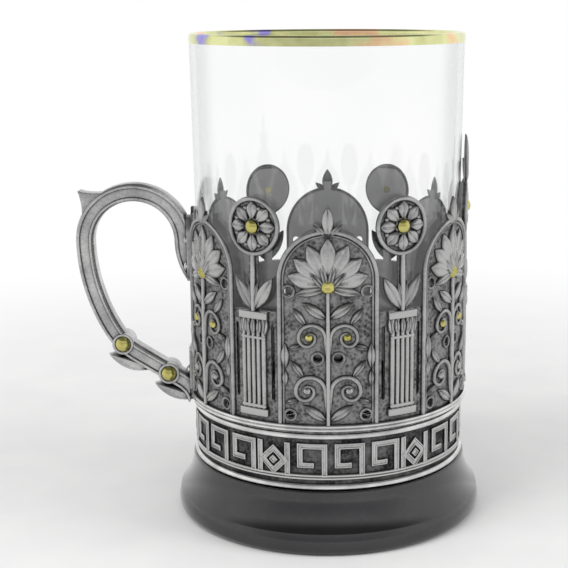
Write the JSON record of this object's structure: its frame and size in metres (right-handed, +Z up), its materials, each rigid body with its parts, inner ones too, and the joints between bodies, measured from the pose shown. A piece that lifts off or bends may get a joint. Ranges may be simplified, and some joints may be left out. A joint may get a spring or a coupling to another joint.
{
  "type": "tea glass holder with glass",
  "caption": "Podstakannik: a clear tea glass with a gilt lip in an openwork metal holder with a loop handle, relief arcade, key frieze and flared foot.",
  "frame": {"origin": "centre of the foot's lower edge, on the table", "axes": "+Z up along the glass's axis, the handle points along -X, the side seen in the picture faces -Y"},
  "size_m": [0.1025, 0.078, 0.1206],
  "materials": {
    "holder_metal": "antiqued nickel plate, rubbed bright on the high places",
    "dark_metal": "dark patinated nickel plate, glossy on the foot",
    "bright_metal": "polished nickel plate",
    "screw_brass": "plain turned brass",
    "gilding": "polished gilding",
    "glass": "clear smooth glass"
  },
  "bodies": {
    "holder": {"foot": "dark_metal", "drum": "holder_metal", "lower_fillet": "bright_metal", "upper_fillet": "bright_metal", "floor_plate": "holder_metal", "centre_screw": "screw_brass", "clamp_washer": "screw_brass", "clamp_nut": "screw_brass", "sleeve": "dark_metal", "arch_panels": "holder_metal", "pillars": "holder_metal", "rosettes": "holder_metal", "gilt_bosses": "gilding", "handle_upper_plate": "holder_metal", "handle_lower_plate": "holder_metal", "handle_upper_rivets": "bright_metal", "handle_lower_rivets": "bright_metal", "handle": "holder_metal", "handle_studs": "gilding"},
    "glass": {"tea_glass": "glass", "rim_gilding": "gilding"}
  },
  "joints": [
    {"name": "glass_lift", "type": "slide", "parent": "holder", "child": "glass", "axis": [0, 0, 1], "range_m": [0, 0.09]}
  ]
}
